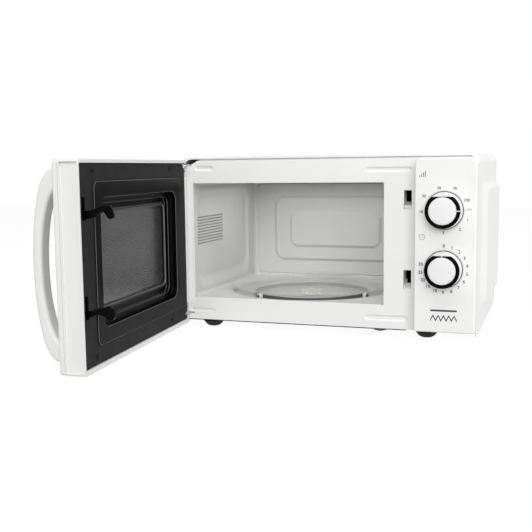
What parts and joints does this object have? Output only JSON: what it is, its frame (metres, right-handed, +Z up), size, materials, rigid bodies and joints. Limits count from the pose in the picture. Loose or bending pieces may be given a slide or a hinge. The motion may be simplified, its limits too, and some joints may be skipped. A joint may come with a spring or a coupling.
{
  "type": "microwave oven",
  "caption": "Countertop microwave oven with a side-hinged door, bow handle, two dials, sunk see-through door screen and a glass turntable on a roller ring.",
  "frame": {"origin": "on the surface it stands on, under the middle of the bounding box with the door open at rest", "axes": "+X to the right seen from the front, +Y towards the back, +Z up"},
  "size_m": [0.4854, 0.6794, 0.2635],
  "materials": {
    "white_paint": "smooth baked enamel, slight orange peel",
    "white_plastic": "satin moulded plastic",
    "cavity_paint": "light grey baked enamel",
    "black_paint": "satin black enamel",
    "black_plastic": "glossy black moulding",
    "dark_plastic": "dark grey moulding",
    "rubber": "matte black",
    "zinc_steel": "galvanised sheet",
    "bright_steel": "bright zinc plate",
    "core_steel": "varnished laminations",
    "copper": "enamelled copper wire",
    "aluminium": "drawn can",
    "mica": "matte mica sheet",
    "ceramic": "off-white heat-resistant moulding",
    "circuit_board": "green solder mask",
    "tinted_glass": "dark tinted pane",
    "clear_glass": "clear pressed glass",
    "heater_glass": "frosted quartz"
  },
  "bodies": {
    "root": {"outer_case": "white_paint", "base_pan": "zinc_steel", "rear_panel": "zinc_steel", "face_plate": "white_paint", "cavity_shell": "cavity_paint", "control_panel": "white_plastic", "timer_unit": "ceramic", "power_selector": "dark_plastic", "timer_bell": "bright_steel", "latch_board": "ceramic", "door_switch_upper": "black_plastic", "door_switch_lower": "black_plastic", "hinge_upper": "bright_steel", "hinge_lower": "bright_steel", "waveguide": "zinc_steel", "waveguide_cover": "mica", "magnetron": "zinc_steel", "transformer_core": "core_steel", "transformer_coils": "copper", "capacitor": "aluminium", "hv_diode": "black_plastic", "fan_shroud": "dark_plastic", "fan_motor": "core_steel", "grill_reflector": "bright_steel", "grill_tube_front": "heater_glass", "grill_tube_rear": "heater_glass", "cavity_lamp": "clear_glass", "filter_board": "circuit_board", "cord_gland": "black_plastic", "turntable_motor": "zinc_steel", "foot_front_left": "rubber", "foot_front_right": "rubber", "foot_rear_left": "rubber", "foot_rear_right": "rubber"},
    "door": {"door_surround": "white_plastic", "door_front": "white_plastic", "door_window": "tinted_glass", "door_frame": "black_paint", "door_choke_cover": "black_plastic", "door_mesh": "black_paint", "door_film": "clear_glass", "door_handle": "white_plastic", "door_screw_upper_left": "black_paint", "door_screw_upper_right": "black_paint", "door_screw_lower_left": "black_paint", "door_screw_lower_right": "black_paint", "latch_spring": "bright_steel"},
    "latch_bar": {"latch_bar": "black_plastic"},
    "timer_knob": {"timer_knob": "black_plastic", "timer_shaft": "bright_steel"},
    "power_knob": {"power_knob": "black_plastic", "power_shaft": "bright_steel"},
    "cooling_fan": {"cooling_fan": "dark_plastic"},
    "turntable": {"turntable_plate": "clear_glass", "turntable_coupler": "ceramic"},
    "roller_ring": {"roller_ring": "dark_plastic"},
    "roller_1": {"roller_wheel_1": "white_plastic"},
    "roller_2": {"roller_wheel_2": "white_plastic"},
    "roller_3": {"roller_wheel_3": "white_plastic"}
  },
  "joints": [
    {"name": "door_hinge", "type": "hinge", "parent": "root", "child": "door", "pos_m": [-0.20811, 0.0197, 0.13525], "axis": [0, 0, 1], "range_deg": [-15, 85]},
    {"name": "latch_slide", "type": "slide", "parent": "door", "child": "latch_bar", "axis": [0, 0, 1], "range_m": [0, 0.004], "stiffness_N_per_m": 250, "springref_m": -0.006, "deforming": ["latch_spring"]},
    {"name": "timer_turn", "type": "hinge", "parent": "root", "child": "timer_knob", "pos_m": [0.19189, -0.0143, 0.1052], "axis": [0, 1, 0], "range_deg": [0, 285]},
    {"name": "power_turn", "type": "hinge", "parent": "root", "child": "power_knob", "pos_m": [0.19189, -0.0143, 0.186], "axis": [0, 1, 0], "range_deg": [-180, 90]},
    {"name": "fan_spin", "type": "hinge", "parent": "root", "child": "cooling_fan", "pos_m": [0.17269, 0.3107, 0.1635], "axis": [0, 1, 0], "continuous": true},
    {"name": "turntable_spin", "type": "hinge", "parent": "root", "child": "turntable", "pos_m": [-0.04641, 0.1647, 0.0635], "axis": [0, 0, 1], "continuous": true},
    {"name": "roller_ring_spin", "type": "hinge", "parent": "root", "child": "roller_ring", "pos_m": [-0.04641, 0.1647, 0.0409], "axis": [0, 0, 1], "continuous": true},
    {"name": "roller_1_spin", "type": "hinge", "parent": "roller_ring", "child": "roller_1", "pos_m": [-0.0767, 0.2579, 0.0409], "axis": [-0.309, 0.9511, 0], "continuous": true},
    {"name": "roller_2_spin", "type": "hinge", "parent": "roller_ring", "child": "roller_2", "pos_m": [-0.11199, 0.09187, 0.0409], "axis": [-0.6691, -0.7431, 0], "continuous": true},
    {"name": "roller_3_spin", "type": "hinge", "parent": "roller_ring", "child": "roller_3", "pos_m": [0.04944, 0.14432, 0.0409], "axis": [0.9781, -0.2079, 0], "continuous": true}
  ],
  "couplings": [
    {"joint": "roller_ring_spin", "follows": "turntable_spin", "ratio": 0.5},
    {"joint": "roller_1_spin", "follows": "turntable_spin", "ratio": -8.4483},
    {"joint": "roller_2_spin", "follows": "turntable_spin", "ratio": -8.4483},
    {"joint": "roller_3_spin", "follows": "turntable_spin", "ratio": -8.4483}
  ]
}
